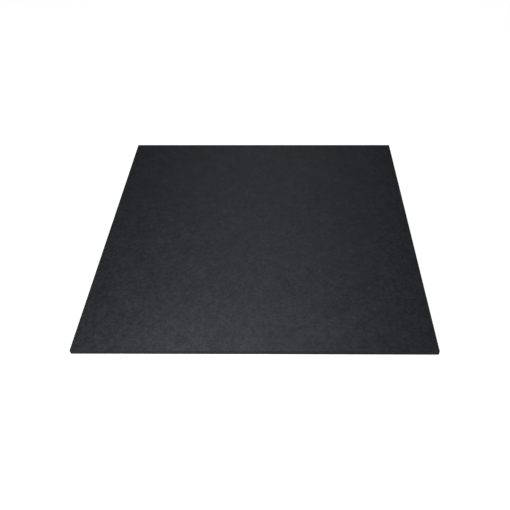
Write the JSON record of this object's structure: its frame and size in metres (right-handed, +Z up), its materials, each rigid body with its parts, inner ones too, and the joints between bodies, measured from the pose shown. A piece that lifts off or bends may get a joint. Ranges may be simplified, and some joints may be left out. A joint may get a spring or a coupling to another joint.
{
  "type": "rubber gym floor tile",
  "caption": "Plain black square tile of pressed crumb rubber for gym floors, flat on both faces, with straight sides that butt against neighbouring tiles.",
  "frame": {"origin": "centre of the underside", "axes": "+Z up through the thickness, -Y towards the front edge in the picture, +X towards its right edge"},
  "size_m": [1, 1, 0.015],
  "materials": {
    "black_rubber": "matt black bonded rubber crumb with a fine pressed grain"
  },
  "bodies": {
    "root": {"rubber_tile": "black_rubber"}
  },
  "joints": []
}
